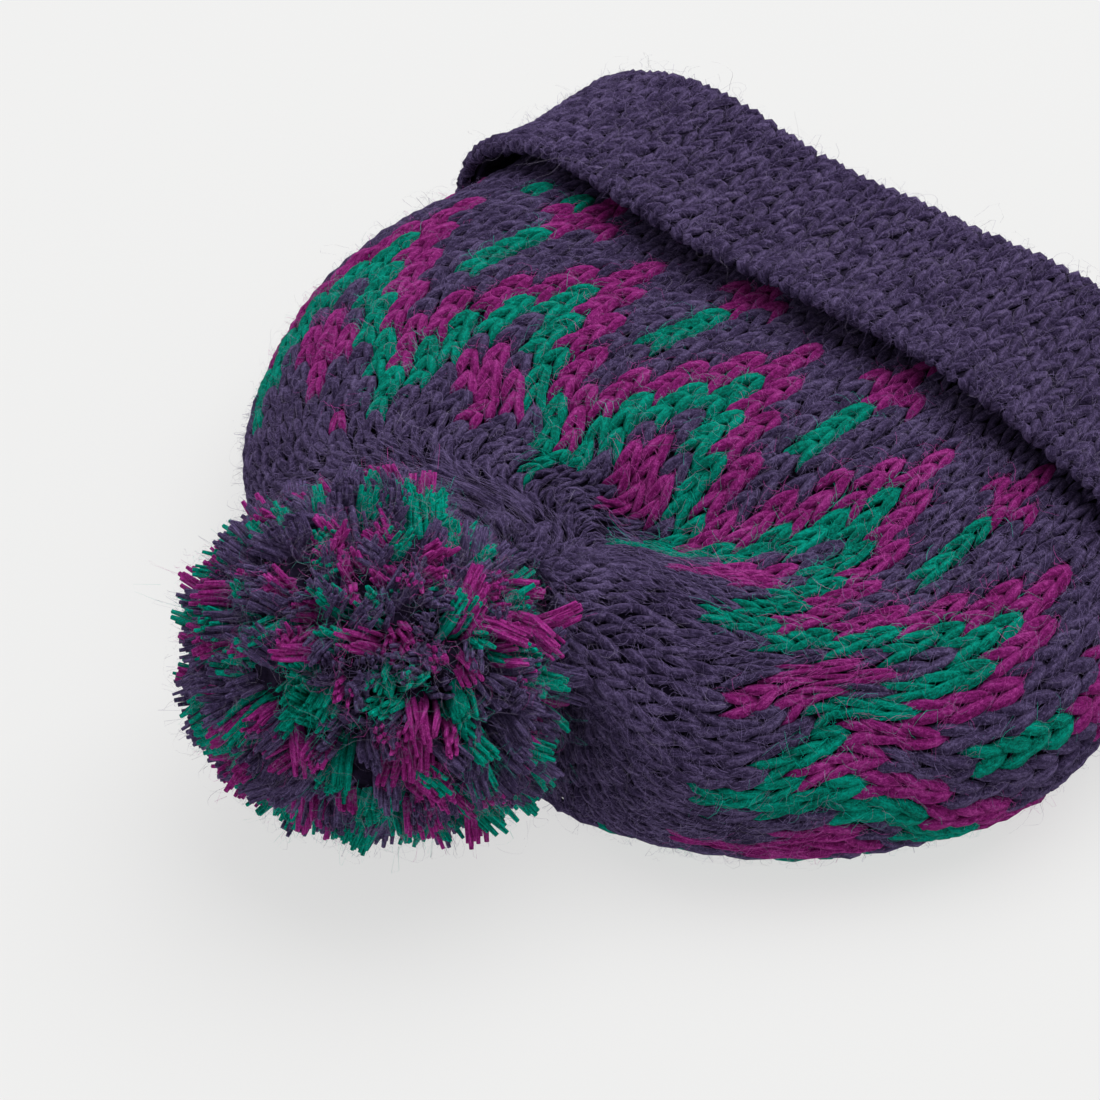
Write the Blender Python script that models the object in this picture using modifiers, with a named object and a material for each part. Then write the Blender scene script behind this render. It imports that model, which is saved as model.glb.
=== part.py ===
"""A chunky knit hat that lies on its side: a gathered crown, a turned-up cuff and a pompom.

The mouth faces +Y, the pompom sits at the -Y end, and the underside rests on Z = 0.
"""

import math
import random
from collections import namedtuple

import bmesh
import bpy
from mathutils import Vector

# Driving dimensions, in metres
CROWN_WIDTH = 0.227          # the crown's flat width, lying, at its widest
CROWN_HEIGHT = 0.060         # the crown's top above what it rests on
CROWN_LENGTH = 0.168         # from the crown's far bulge by the pompom to its turned edge
CROWN_END_Y = -0.066         # where that far bulge lies
CUFF_DEPTH = 0.061           # from the cuff's hem to its fold
KNIT_WALL = 0.0050           # one layer of the knit
TURN_GAP = 0.0018            # between the crown and the cuff turned up over it
HEM_LIFT = 0.0040            # how far the cuff's hem stands off the crown on top
SIDE_HEM_SHARE = 0.3         # of that lift, what is left at the sides
HEM_LIFT_END = 0.45          # how far up the cuff the lift ends, as a share of CUFF_DEPTH
CUFF_ROWS = (0.0, 0.07, 0.20, 0.40, 0.60, 0.80)
FAR_BULGE_ROW = 4            # the row of the sections' table at the crown's far bulge
JOIN_GAP = 0.0003            # between two pieces that meet
EDGE_GAP = 0.0006            # between the crown's turned edge and the cuff that goes on from it
POMPOM_DIAMETER = 0.096      # across the tips of the pompom's longest locks
POMPOM_HEIGHT = 0.086        # the pompom's height as it rests, a little flattened
POMPOM_PRESS = 0.035         # from the pompom's middle to the crown that it presses into
SEAT_ROOM = 0.0020           # between the pompom's pressed locks and the crown
CORE_SHARE = 0.75            # the head's radius inside the locks, as a share of the pompom's
TIE_DIAMETER = 0.009         # of the yarn that ties the pompom on
TIE_LENGTH = 0.0040          # from the pompom's head to the gather

UNDER_SQUARE = 0.9           # how much boxier the sections are in their lower half

# Mesh fineness
AROUND = 44                  # points round a section
RINGS_PER_SECTION = 2
OUTLINE_SAMPLES = 240        # along a section's outline before it is divided evenly
POMPOM_LOCKS = 56
LOCK_SIDES = 5
TIE_ROOM_DEGREES = 30        # round the tie, where the pompom has no lock
TIE_SIDES = 12
SEED = 7

# The pompom's locks. Widths are shares of the way from one lock to the next, and lengths of the
# lock's reach from the pompom's middle.
LOCK_WIDTHS = (0.40, 0.47)
LOCK_REACHES = (0.93, 1.0)
LOCK_LEAN = 0.10             # how far a lock leans from its direction, at most
LOCK_ROOT = 0.70             # where it starts, as a share of the head's radius
LOCK_ROOT_WIDTH = 0.62       # of its width, at the root
LOCK_SHOULDER = 0.93         # where it is widest
LOCK_TIP_WIDTH = 0.72        # of its width, at the blunt tip

# Where the gather lies across the crown, as a share of its width
GATHER_ACROSS = 0.014

# The crown's sections, from the gather to the turned edge. along is a share of CROWN_LENGTH from
# the far bulge, left and right of half of CROWN_WIDTH, top and side of CROWN_HEIGHT, and under of
# the cuff's layer and gap, which hold the crown's edge off the floor; below 0 the floor flattens
# it. lean is how far a point lies along Y for its place across, and square how boxy the section
# is, 2 for an ellipse, with UNDER_SQUARE more in its lower half.
Section = namedtuple("Section", "along left right top side under lean square")
SECTIONS = (
    Section(0.110, 0.045, 0.045, 0.75, 0.70, 5.80, 0.00, 2.0),
    Section(0.110, 0.110, 0.110, 0.80, 0.68, 4.40, 0.00, 2.0),
    Section(0.060, 0.230, 0.230, 0.84, 0.60, 2.40, -0.02, 2.0),
    Section(0.018, 0.360, 0.350, 0.87, 0.51, 0.80, -0.03, 2.0),
    Section(0.010, 0.510, 0.500, 0.89, 0.46, -0.20, -0.03, 2.0),
    Section(0.055, 0.660, 0.645, 0.92, 0.43, -0.70, -0.03, 2.1),
    Section(0.140, 0.800, 0.805, 0.96, 0.42, -0.90, -0.02, 2.2),
    Section(0.260, 0.900, 0.945, 1.00, 0.42, -0.90, -0.02, 2.3),
    Section(0.400, 0.965, 1.035, 1.00, 0.43, -0.90, -0.02, 2.4),
    Section(0.540, 0.995, 1.040, 0.97, 0.45, -0.30, -0.03, 2.5),
    Section(0.650, 0.970, 1.000, 0.94, 0.47, 0.85, -0.03, 2.6),
    Section(0.760, 0.940, 0.965, 0.92, 0.49, 1.00, -0.03, 2.7),
    Section(0.880, 0.945, 0.950, 0.89, 0.50, 1.00, -0.02, 2.7),
    Section(0.950, 0.950, 0.945, 0.87, 0.50, 1.00, -0.02, 2.7),
    Section(1.000, 0.950, 0.945, 0.87, 0.50, 1.00, -0.02, 2.7),
)

# The crown's creases, which run out from the gather. around is a share of the girth at the gather,
# from the +X side over the top, drift what it gains by the turned edge, spread its half width in
# the same measure, depth a share of CROWN_HEIGHT, and start, deepest and end where it runs, from 0
# at the gather to 1 at the turned edge.
Crease = namedtuple("Crease", "around drift spread depth start deepest end")
CREASES = (
    Crease(0.330, -0.410, 0.038, 0.28, 0.12, 0.36, 0.62),
    Crease(0.290, 0.000, 0.036, 0.11, 0.14, 0.30, 0.54),
    Crease(0.430, 0.020, 0.035, 0.10, 0.04, 0.24, 0.46),
    Crease(0.060, -0.060, 0.030, 0.10, 0.04, 0.24, 0.40),
    Crease(0.580, 0.020, 0.035, 0.10, 0.04, 0.22, 0.40),
    Crease(0.900, 0.000, 0.035, 0.12, 0.04, 0.24, 0.44),
)

# Swells of the cuff's top edge, by the share across from the left side.
Swell = namedtuple("Swell", "across width rise")
SWELLS = (
    Swell(0.16, 0.10, 0.06),
    Swell(0.42, 0.11, -0.05),
    Swell(0.66, 0.12, 0.04),
)

# The pompom's uneven places: a direction from its middle, an angle across and a share of its radius.
Tuft = namedtuple("Tuft", "x y z spread share")
TUFTS = (
    Tuft(-0.45, 0.05, 0.89, 30, 0.03),
    Tuft(0.80, -0.30, 0.50, 34, 0.03),
    Tuft(-0.35, -0.80, -0.10, 34, 0.04),
    Tuft(-0.95, -0.05, 0.45, 14, -0.13),
    Tuft(0.10, -0.95, -0.45, 26, -0.03),
)

HALF_WIDTH = CROWN_WIDTH / 2
EDGE_LIFT = KNIT_WALL + TURN_GAP
GATHER_X = GATHER_ACROSS * CROWN_WIDTH
GATHER_Z = SECTIONS[0].side * CROWN_HEIGHT
POMPOM_RADIUS = POMPOM_DIAMETER / 2
POMPOM_FLATTEN = POMPOM_HEIGHT / POMPOM_DIAMETER
GATHER_Y = CROWN_END_Y + SECTIONS[0].along * CROWN_LENGTH
POMPOM_MIDDLE = Vector((GATHER_X, GATHER_Y - POMPOM_PRESS, POMPOM_HEIGHT / 2))
CORE_RADIUS = POMPOM_RADIUS * CORE_SHARE
CORE_MIDDLE = Vector((GATHER_X, GATHER_Y - TIE_LENGTH - CORE_RADIUS, POMPOM_MIDDLE.z))


def clear_scene():
    for obj in list(bpy.data.objects):
        bpy.data.objects.remove(obj, do_unlink=True)


def material(name, colour, roughness):
    made = bpy.data.materials.new(name)
    made.use_nodes = True
    shader = made.node_tree.nodes["Principled BSDF"]
    shader.inputs["Base Color"].default_value = (*colour, 1.0)
    shader.inputs["Roughness"].default_value = roughness
    shader.inputs["Metallic"].default_value = 0.0
    made.diffuse_color = (*colour, 1.0)
    return made


def add_object(name, bm, collection, surface):
    mesh = bpy.data.meshes.new(name)
    bm.to_mesh(mesh)
    bm.free()
    mesh.materials.append(surface)
    mesh.shade_smooth()
    obj = bpy.data.objects.new(name, mesh)
    collection.objects.link(obj)
    return obj


def smooth_step(low, high, value):
    t = min(max((value - low) / (high - low), 0.0), 1.0)
    return t * t * (3 - 2 * t)


def signed_power(value, power):
    return math.copysign(abs(value) ** power, value)


def travel_shares():
    """How far each section lies along the top from the gather, as a share of the whole way."""
    tops = [Vector((s.along * CROWN_LENGTH, s.top * CROWN_HEIGHT)) for s in SECTIONS]
    way = [0.0]
    for a, b in zip(tops, tops[1:]):
        way.append(way[-1] + (b - a).length)
    return [w / way[-1] for w in way]


TRAVELS = travel_shares()


def blended(rows, place):
    """The row at a place along a table, a smooth curve through each column."""
    low = min(max(int(place), 0), len(rows) - 2)
    t = min(place - low, 1.0)
    before, first, second, after = (rows[min(max(i, 0), len(rows) - 1)] for i in range(low - 1, low + 3))
    mixed = []
    for a, b, c, d in zip(before, first, second, after):
        curve = (2 * a - 5 * b + 4 * c - d) * t**2 + (3 * b - a - 3 * c + d) * t**3
        mixed.append(b + ((c - a) * t + curve) / 2)
    return mixed


def section_and_travel(place):
    return Section(*blended(SECTIONS, place)), blended([(t,) for t in TRAVELS], place)[0]


def place_at(y):
    """The place in the table of sections that lies at y, past the crown's far bulge."""
    along = (y - CROWN_END_Y) / CROWN_LENGTH
    low, high = FAR_BULGE_ROW, len(SECTIONS) - 1
    while high - low > 1e-4:
        middle = (low + high) / 2
        if section_and_travel(middle)[0].along < along:
            low = middle
        else:
            high = middle
    return high


def crease_depth(travel, around):
    """How far the creases pull the surface in, at a share of the way and of the girth."""
    depth = 0.0
    for crease in CREASES:
        if travel < crease.deepest:
            strength = smooth_step(crease.start, crease.deepest, travel)
        else:
            strength = 1 - smooth_step(crease.deepest, crease.end, travel)
        middle = crease.around + crease.drift * travel
        away = (around - middle + 0.5) % 1 - 0.5
        depth += crease.depth * strength * math.exp(-((away / crease.spread) ** 2))
    return depth * CROWN_HEIGHT


def swell(across):
    return CROWN_HEIGHT * sum(s.rise * math.exp(-(((across - s.across) / s.width) ** 2)) for s in SWELLS)


def outline(section, travel):
    """The section's outline as points across and up, from the +X side over the top."""
    side_z = section.side * CROWN_HEIGHT
    under_z = section.under * EDGE_LIFT
    points = []
    for i in range(OUTLINE_SAMPLES):
        angle = 2 * math.pi * i / OUTLINE_SAMPLES
        half = HALF_WIDTH * (section.right if math.cos(angle) > 0 else section.left)
        reach = side_z - under_z
        power = 2 / (section.square + UNDER_SQUARE)
        if math.sin(angle) > 0:
            power = 2 / section.square
            across = 0.5 + 0.5 * math.cos(angle)
            reach = section.top * CROWN_HEIGHT - side_z + swell(across) * smooth_step(0.4, 0.7, travel)
        x = half * signed_power(math.cos(angle), power)
        points.append(Vector((x, side_z + reach * signed_power(math.sin(angle), power))))
    return points


def divided(points, count):
    """The closed outline divided into equal lengths."""
    ends = points[1:] + points[:1]
    lengths = [(b - a).length for a, b in zip(points, ends)]
    step = sum(lengths) / count
    made = []
    passed = 0.0
    for a, b, length in zip(points, ends, lengths):
        while len(made) < count and len(made) * step < passed + length:
            made.append(a.lerp(b, (len(made) * step - passed) / length))
        passed += length
    return made


def section_ring(y, section, travel, offset):
    """The crown's outer face in one section, creased and then moved out by offset."""
    middle = Vector((0, section.side * CROWN_HEIGHT))
    points = []
    for i, point in enumerate(divided(outline(section, travel), AROUND)):
        room = (point - middle).length
        depth = min(crease_depth(travel, i / AROUND), room / 2)
        points.append(point + (middle - point).normalized() * depth)
    middle_x = GATHER_X * (1 - smooth_step(0.0, 0.5, travel))
    ring = []
    for i, point in enumerate(points):
        along = points[(i + 1) % AROUND] - points[i - 1]
        moved = point + Vector((along.y, -along.x)).normalized() * offset
        ring.append(Vector((middle_x + moved.x, y + section.lean * moved.x, moved.y)))
    return ring


def clear_of_pompom(point):
    """Moves a point that lies inside the pompom's seat back along Y to the seat's surface."""
    away = point - POMPOM_MIDDLE
    aside = math.hypot(away.x, away.z)
    if aside < POMPOM_PRESS:
        seat_y = POMPOM_MIDDLE.y + math.sqrt(POMPOM_PRESS**2 - aside**2)
        point = Vector((point.x, max(point.y, seat_y), point.z))
    return point


def on_floor(point, floor=0.0):
    return Vector((point.x, point.y, max(point.z, floor)))


def loft(rings, closed_start):
    """A mesh through rings of points, with one face over the first ring where closed_start is set."""
    bm = bmesh.new()
    rows = [[bm.verts.new(point) for point in ring] for ring in rings]
    for row, following in zip(rows, rows[1:]):
        for i in range(len(row)):
            j = (i + 1) % len(row)
            bm.faces.new((row[i], row[j], following[j], following[i]))
    if closed_start:
        bm.faces.new(rows[0][::-1])
    bmesh.ops.recalc_face_normals(bm, faces=bm.faces)
    return bm


def thicken(obj, thickness):
    wall = obj.modifiers.new("Knit wall", "SOLIDIFY")
    wall.thickness = thickness
    wall.offset = -1


def build_crown(collection, surface):
    rings = []
    for i in range((len(SECTIONS) - 1) * RINGS_PER_SECTION + 1):
        section, travel = section_and_travel(i / RINGS_PER_SECTION)
        ring = section_ring(CROWN_END_Y + section.along * CROWN_LENGTH, section, travel, 0.0)
        rings.append([on_floor(clear_of_pompom(point)) for point in ring])
    crown = add_object("crown", loft(rings, closed_start=True), collection, surface)
    thicken(crown, KNIT_WALL)
    return crown


def cuff_profile():
    """Rows of a length along Y and an offset from the crown's outer face, from the hem round the fold."""
    edge_y = CROWN_END_Y + CROWN_LENGTH
    nose = (2 * KNIT_WALL + TURN_GAP) / 2
    fold_y = edge_y + 2 * EDGE_GAP
    hem_y = fold_y + nose - CUFF_DEPTH
    rows = [(hem_y + share * (fold_y - hem_y), EDGE_LIFT) for share in CUFF_ROWS]
    for turn in (90, 54, 18, -18, -54):
        angle = math.radians(turn)
        rows.append((fold_y + nose * math.cos(angle), EDGE_LIFT - nose + nose * math.sin(angle)))
    return rows + [(fold_y, -KNIT_WALL), (edge_y + EDGE_GAP, -KNIT_WALL)]


def build_cuff(collection, surface):
    """The turned-up band: its outer leg from the hem, the fold, and the stub that meets the crown."""
    rows = cuff_profile()
    hem_y = rows[0][0]
    rings = []
    for y, offset in rows:
        section, travel = section_and_travel(place_at(y))
        lift = HEM_LIFT * (1 - smooth_step(0.0, HEM_LIFT_END, (y - hem_y) / CUFF_DEPTH))
        ring = section_ring(y, section, travel, offset)
        lifted = section_ring(y, section, travel, offset + lift)
        for i in range(AROUND):
            rise = max(math.sin(2 * math.pi * i / AROUND), 0.0)
            share = SIDE_HEM_SHARE + (1 - SIDE_HEM_SHARE) * rise
            ring[i] = on_floor(ring[i].lerp(lifted[i], share), max(EDGE_LIFT - offset, 0.0))
        rings.append(ring)
    cuff = add_object("cuff", loft(rings, closed_start=False), collection, surface)
    thicken(cuff, KNIT_WALL)
    return cuff


def sphere_directions(count):
    """Directions spread evenly over a sphere along a spiral."""
    golden = math.pi * (3 - math.sqrt(5))
    for i in range(count):
        z = 1 - 2 * (i + 0.5) / count
        ring = math.sqrt(1 - z * z)
        yield Vector((ring * math.cos(golden * i), ring * math.sin(golden * i), z))


def tuft_share(direction):
    share = 1.0
    for tuft in TUFTS:
        away = math.degrees(direction.angle(Vector((tuft.x, tuft.y, tuft.z))))
        share += tuft.share * math.exp(-((away / tuft.spread) ** 2))
    return share


def lock_reach(direction, draw):
    """How far a lock reaches from the pompom's middle: its tuft, the floor and the crown end it."""
    flatten = math.hypot(direction.x, direction.y, direction.z * POMPOM_FLATTEN)
    reach = POMPOM_RADIUS * flatten * tuft_share(direction) * draw.uniform(*LOCK_REACHES)
    pressed = smooth_step(0.05, 0.42, direction.y)
    reach = min(reach, POMPOM_RADIUS + (POMPOM_PRESS - SEAT_ROOM - POMPOM_RADIUS) * pressed)
    if direction.z < 0:
        reach = min(reach, (POMPOM_MIDDLE.z - JOIN_GAP) / -direction.z)
    return reach


def add_lock(bm, direction, reach, draw):
    """One lock: a tapered bundle, widest just under its blunt tip."""
    spacing = POMPOM_RADIUS * math.sqrt(4 * math.pi / POMPOM_LOCKS)
    width = spacing * draw.uniform(*LOCK_WIDTHS)
    lean = Vector((draw.uniform(-1, 1), draw.uniform(-1, 1), draw.uniform(-1, 1))) * LOCK_LEAN
    axis = (direction + lean).normalized()
    turn = draw.uniform(0, 2 * math.pi)
    side = axis.orthogonal().normalized()
    other = axis.cross(side)
    root = CORE_RADIUS * LOCK_ROOT
    stations = ((root, LOCK_ROOT_WIDTH), (reach * LOCK_SHOULDER, 1.0), (reach, LOCK_TIP_WIDTH))
    rows = []
    for length, share in stations:
        middle = POMPOM_MIDDLE + direction * root + axis * (length - root)
        row = []
        for i in range(LOCK_SIDES):
            angle = turn + 2 * math.pi * i / LOCK_SIDES
            point = middle + (side * math.cos(angle) + other * math.sin(angle)) * width * share
            row.append(bm.verts.new(on_floor(point, JOIN_GAP)))
        rows.append(row)
    for row, following in zip(rows, rows[1:]):
        for i in range(LOCK_SIDES):
            j = (i + 1) % LOCK_SIDES
            bm.faces.new((row[i], row[j], following[j], following[i]))
    bm.faces.new(rows[0][::-1])
    bm.faces.new(rows[-1])


def build_pompom(collection, cutters, surface):
    """A round head of yarn with blunt locks fused to it all over."""
    draw = random.Random(SEED)
    bm = bmesh.new()
    bmesh.ops.create_icosphere(bm, subdivisions=2, radius=CORE_RADIUS)
    bmesh.ops.scale(bm, verts=bm.verts, vec=(1, 1, POMPOM_FLATTEN))
    bmesh.ops.translate(bm, verts=bm.verts, vec=CORE_MIDDLE)
    pompom = add_object("pompom", bm, collection, surface)
    bm = bmesh.new()
    for direction in sphere_directions(POMPOM_LOCKS):
        if direction.y > math.cos(math.radians(TIE_ROOM_DEGREES)):
            continue
        add_lock(bm, direction, lock_reach(direction, draw), draw)
    bmesh.ops.recalc_face_normals(bm, faces=bm.faces)
    locks = add_object("pompom_locks", bm, cutters, surface)
    locks.hide_render = True
    locks.display_type = "WIRE"
    union = pompom.modifiers.new("Fuse locks", "BOOLEAN")
    union.operation = "UNION"
    union.object = locks
    union.use_self = True
    return pompom


def build_tie(collection, surface):
    """The yarn that ties the pompom to the gather, plain and hidden between them."""
    length = TIE_LENGTH - 2 * JOIN_GAP
    bm = bmesh.new()
    bmesh.ops.create_cone(bm, cap_ends=True, segments=TIE_SIDES, radius1=TIE_DIAMETER / 2,
                          radius2=TIE_DIAMETER / 2, depth=length)
    tie = add_object("pompom_tie", bm, collection, surface)
    tie.location = (GATHER_X, GATHER_Y - TIE_LENGTH / 2, GATHER_Z)
    tie.rotation_euler = (math.radians(90), 0, 0)
    return tie


def main():
    clear_scene()
    hat = bpy.data.collections.new("knit_hat")
    cutters = bpy.data.collections.new("cutters")
    bpy.context.scene.collection.children.link(hat)
    bpy.context.scene.collection.children.link(cutters)
    cutters.hide_render = True
    purple = material("purple_wool", (0.055, 0.038, 0.105), 0.9)
    tuft_wool = material("pompom_wool", (0.16, 0.03, 0.13), 0.9)
    build_crown(hat, purple)
    build_cuff(hat, purple)
    build_pompom(hat, cutters, tuft_wool)
    build_tie(hat, purple)


main()
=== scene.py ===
"""The looks of a chunky knit hat that lies on its side: stitches, turned-up cuff, pompom and wool fuzz."""
import math

import bpy
import numpy as np
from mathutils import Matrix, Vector
from mathutils.bvhtree import BVHTree


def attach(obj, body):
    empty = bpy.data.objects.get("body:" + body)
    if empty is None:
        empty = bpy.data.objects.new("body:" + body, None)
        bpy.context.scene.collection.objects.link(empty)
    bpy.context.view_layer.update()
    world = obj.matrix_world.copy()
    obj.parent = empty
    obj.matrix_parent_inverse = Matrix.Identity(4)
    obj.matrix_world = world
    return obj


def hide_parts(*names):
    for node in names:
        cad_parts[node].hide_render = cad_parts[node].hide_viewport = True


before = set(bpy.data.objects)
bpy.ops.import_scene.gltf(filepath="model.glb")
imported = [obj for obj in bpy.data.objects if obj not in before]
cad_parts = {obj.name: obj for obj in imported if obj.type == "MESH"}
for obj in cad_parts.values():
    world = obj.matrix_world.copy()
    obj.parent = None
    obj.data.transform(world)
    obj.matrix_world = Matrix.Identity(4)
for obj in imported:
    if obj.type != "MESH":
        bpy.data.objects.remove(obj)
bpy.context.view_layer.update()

# The photograph's camera: a long lens that looks down on the hat from beside the pompom
CAMERA_TARGET = Vector((-0.0279, 0.0, 0.0))
CAMERA_AZIMUTH = math.radians(43)
CAMERA_HEIGHT_ANGLE = math.radians(41)
CAMERA_DISTANCE = 0.95
CAMERA_LENS = 132.8          # in millimetres
CAMERA_SENSOR = 36           # in millimetres

# Floor and light
FLOOR_HALF_SIZE = 4
FLOOR_TONE = (0.21, 0.21, 0.208)
FLOOR_GLOW_TONE = (1.0, 1.0, 0.995)
FLOOR_GLOW = 0.64
OVERHEAD_PLACE = (0.0, 1.2, 3.15)
OVERHEAD_SIZE = 3.6
OVERHEAD_POWER = 96          # in watts
WORLD_GLOW = 0.56

# Knit, in metres
KNIT_WALL = 0.0050           # one layer of the knit, as in the CAD
TURN_GAP = 0.0018            # between the crown and the cuff turned up over it
COLUMNS = 80                 # stitches round the hat
STEPS = 4                    # points of the sheet for each stitch, across and along
RAYS = 480                   # round the hat, where its shape is read from the CAD
RAY_REACH = 0.5
SPINE = Vector((0.003, 0.0, 0.028))   # a line inside the hat that the rays run to
FLATNESS = 0.27              # height to width of the hat's section
LEAN = -0.022                # how far the hat's sections lean along Y for their place across
FAN_Y = -0.020               # from here to the gather the rays fan out
FAN_STEP = math.radians(2.5)
GATHER = Vector((0.0032, -0.0475, 0.042))
STATION_STEP = 0.003
MOUTH_Y = 0.1014
HEM_Y = 0.0483               # the cuff's hem, on top
FOLD_Y = 0.1030              # where the cuff starts to turn

# How often the facets of the CAD are smoothed out
CROWN_SMOOTHING = 8
WALL_SMOOTHING = 3
CUFF_FACE_SMOOTHING = 4
CUFF_SMOOTHING = 3

# The crown's rows, which count from the hem to the gather
ROW = 0.0064                 # height of a stitch in the pattern
FIRST_ROW = -5               # under the cuff, counted from the magenta zigzag's peaks
PATTERN_ROWS = 15            # past these the stitches are knitted together to the gather
END_ROW_SHARE = 0.76         # how low the rows are there, of a row of the pattern
LAST_ROW = 45                # on the longest way to the gather
WAY_STEP = 0.0015
STITCH = 0.0058              # width of a stitch where they are knitted together
LEAST_STITCH = 0.0019        # nothing narrower or lower is made, at the gather under the pompom
PEAK_COLUMN = 2
COLUMN_PHASE = 0.4           # where a stitch's middle lies in its column
REPEAT = 8                   # stitches of a zigzag
PURPLE_KIND, MAGENTA_KIND, GREEN_KIND = range(3)     # places in TONES
DOTS = {(33, -2): GREEN_KIND, (31, -2): GREEN_KIND, (32, 14): MAGENTA_KIND}   # by column and row

# How far the pattern's first row lies from the hem: a middle, a width and a rise over the girth
HEM_WAY = 0.0065
HEM_HUMPS = ((0.07, 0.07, 0.0080), (0.28, 0.08, -0.0075), (0.44, 0.05, 0.0050))

# How far columns lie to the side of their place at the hem, in stitches
NEAR_SHIFT = 2.6             # about the near side
NEAR_COLUMN = 1
NEAR_WIDTH = 8
NEAR_FADE_ROWS = (8, 13)     # over these rows the shift ends
END_LEAN = -4.0              # at the gathered end
END_LEAN_ROWS = (8, 15)      # over these rows the lean grows
CREASE_COLUMN = 9            # along the crease the end doesn't lean
CREASE_WIDTH = 8

# How far rows hang to the gather on the near side, in rows
NEAR_HANG = 3.6
NEAR_START = (-26, -8)       # over these columns the hang grows
NEAR_END = (0.5, 4.2)        # and over these it ends
NEAR_DRIFT = 1.6             # how far its end moves on, in stitches
NEAR_DRIFT_ROWS = (3, 10)
NEAR_STRETCH = 1.6           # how much more the knit hangs before the columns below
NEAR_STRETCH_ROWS = (5, 14)
NEAR_STRETCH_COLUMNS = (-2, 2)

# The cuff
CUFF_ROW = 0.0054
CUFF_ROWS = 23               # from its hem over the fold and into the mouth
HEM_RAISE = 0.0055           # how much shorter the cuff is at its far end
HEM_RAISE_SHARE = 0.47
HEM_RAISE_WIDTH = 0.07
HEM_ANGLES = range(-70, 90, 20)      # round the rolled hem, in degrees
FOLD_ANGLES = range(70, -91, -20)    # round the fold
INSIDE_RINGS = 17                    # past the fold, into the mouth

# Backing behind the stitches, dark as painted shade: how high its two faces lie over the knit's outer face
CROWN_BACKING = (-0.0032, -0.0049)
CUFF_BACKING = (-0.0019, -0.0046)

# Soft unevenness of the knit: waves as columns and rows from crest to crest, and their depth
WAVES = ((9.0, 13.0, 0.00015), (-13.0, 8.0, 0.00015), (26.7, 17.0, 0.00020))
GRID_END = 1.001             # how far before a grid's end it is still read

# Stitches: each is a V of two legs, its foot to the hem and its arms to the gather
LEG_SEGMENTS = 4
LEG_SIDES = 5
PLAIN_SIDES = 4              # on the cuff and under the crown
LEG_FOOT = 0.06              # across from the stitch's middle, in stitches
LEG_TOP = 0.41
LEG_START = -0.34            # along, in rows
LEG_LENGTH = 1.64
LEG_DEPTH = 0.0008           # how far a leg's middle lies under the knit's outer face
LEG_DEPTH_SHARES = (0.8, 1.3)
LEG_DIP = 0.0019             # how deep its ends lie
LEG_HALF_WIDTH = 0.252       # of a stitch
LEG_HALF_HEIGHT = 0.215
LEG_WIDTH_SHARES = (0.88, 1.10)
LEG_POINT = 0.30             # how wide its ends are, of its middle
LEG_ROUNDNESS = 0.6          # less is fuller between its ends
STITCH_UNEVEN = 0.06
MOST_SLIP = 0.5              # in rows, of a stitch's arms where the knit lies askew

# Fuzz: short hairs that lie on the knit, and long stray ones
HAIR_HALF_WIDTH = 0.000034
HAIR_LENGTHS = (0.002, 0.006)
HAIR_LIFT = 0.0007
HAIR_ROOT = -0.0005          # under the knit's outer face
HAIR_CURL = 1.5
HAIR_STATIONS = 4
HAIR_ARCH = (0.05, 0.85)     # where on an arch a hair starts, and how much of it the hair makes
HAIR_WIDTH_SHARES = (0.6, 1.3)
HAIR_TAPER = 0.6
FUZZ_LOWEST = 0.0025         # over the floor
STRAY_HALF_WIDTH = 0.000028
STRAY_STATIONS = 9
STRAY_TURN = 2.4
STRAY_SWINGS = (0.4, 1.6)    # how far a stray hair curls to and fro
STRAY_SWING_TURNS = (0.6, 1.4)
STRAY_ARCH = (0.08, 0.8)
STRAY_WIDTH_SHARES = (0.7, 1.2)
STRAY_TAPER = 0.5
STRAY_LENGTHS = (0.005, 0.015)
STRAY_LIFT = 0.0012

# How many hairs are tried, and from which row to which
CROWN_HAIRS = (52000, -2, LAST_ROW - 6)
CUFF_HAIRS = (16500, 0, CUFF_ROWS - 7)
CROWN_STRAYS = (2500, -1, LAST_ROW - 8)
CUFF_STRAYS = (1300, 1, CUFF_ROWS - 7)
STITCH_SHOWS = 0.4           # how many rows before its own a stitch shows

# The pompom
POMPOM_MIDDLE = np.array([0.0032, -0.0825, 0.0430])
POMPOM_STRANDS = 9000
POMPOM_CLUMPS = 900
COLOUR_SHARES = (0.47, 0.26, 0.27)
CLUMP_UNEVEN = 0.04          # how far a clump's direction strays
STRAND_SEGMENTS = 3
STRAND_SIDES = 4
STRAND_HALF_WIDTH = 0.00078
STRAND_WIDTH_SHARES = (0.85, 1.15)
STRAND_PROFILE = np.array([0.75, 1.0, 1.0, 0.60])
STRAND_SHORTER = 0.0022
STRAND_BEND = 0.0005
STRAND_LOWEST = 0.0010       # over the floor
STRAND_LOWEST_SPREAD = 0.0008
CORE_SHARE = 0.62            # where strands start, of their reach
CLUMP_HALF_WIDTH = 0.0032
CLUMP_TIP_SHARE = 0.85       # of the half width
CLUMP_ROOT_SHARE = 0.7
CLUMP_DOME = 0.0012          # how much shorter a clump is at its rim
CLUMP_LEAN = 0.0028
CLUMP_LEAN_BEND = 0.4
CLUMP_SHORTER = 0.0030       # how much shorter some clumps are
REACH_RAYS = 5
REACH_SPREAD = 0.10
HEART_SHARE = 0.80
POMPOM_FUZZ = 3 / 2          # hairs for each strand
POMPOM_FUZZ_PLACES = (0.5, 1.0)      # along a strand's last segment
POMPOM_STRAYS = 2200
POMPOM_STRAY_LENGTHS = (0.005, 0.018)
POMPOM_STRAY_LIFT = 0.0015
POMPOM_STRAY_ROOT = 0.001

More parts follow.
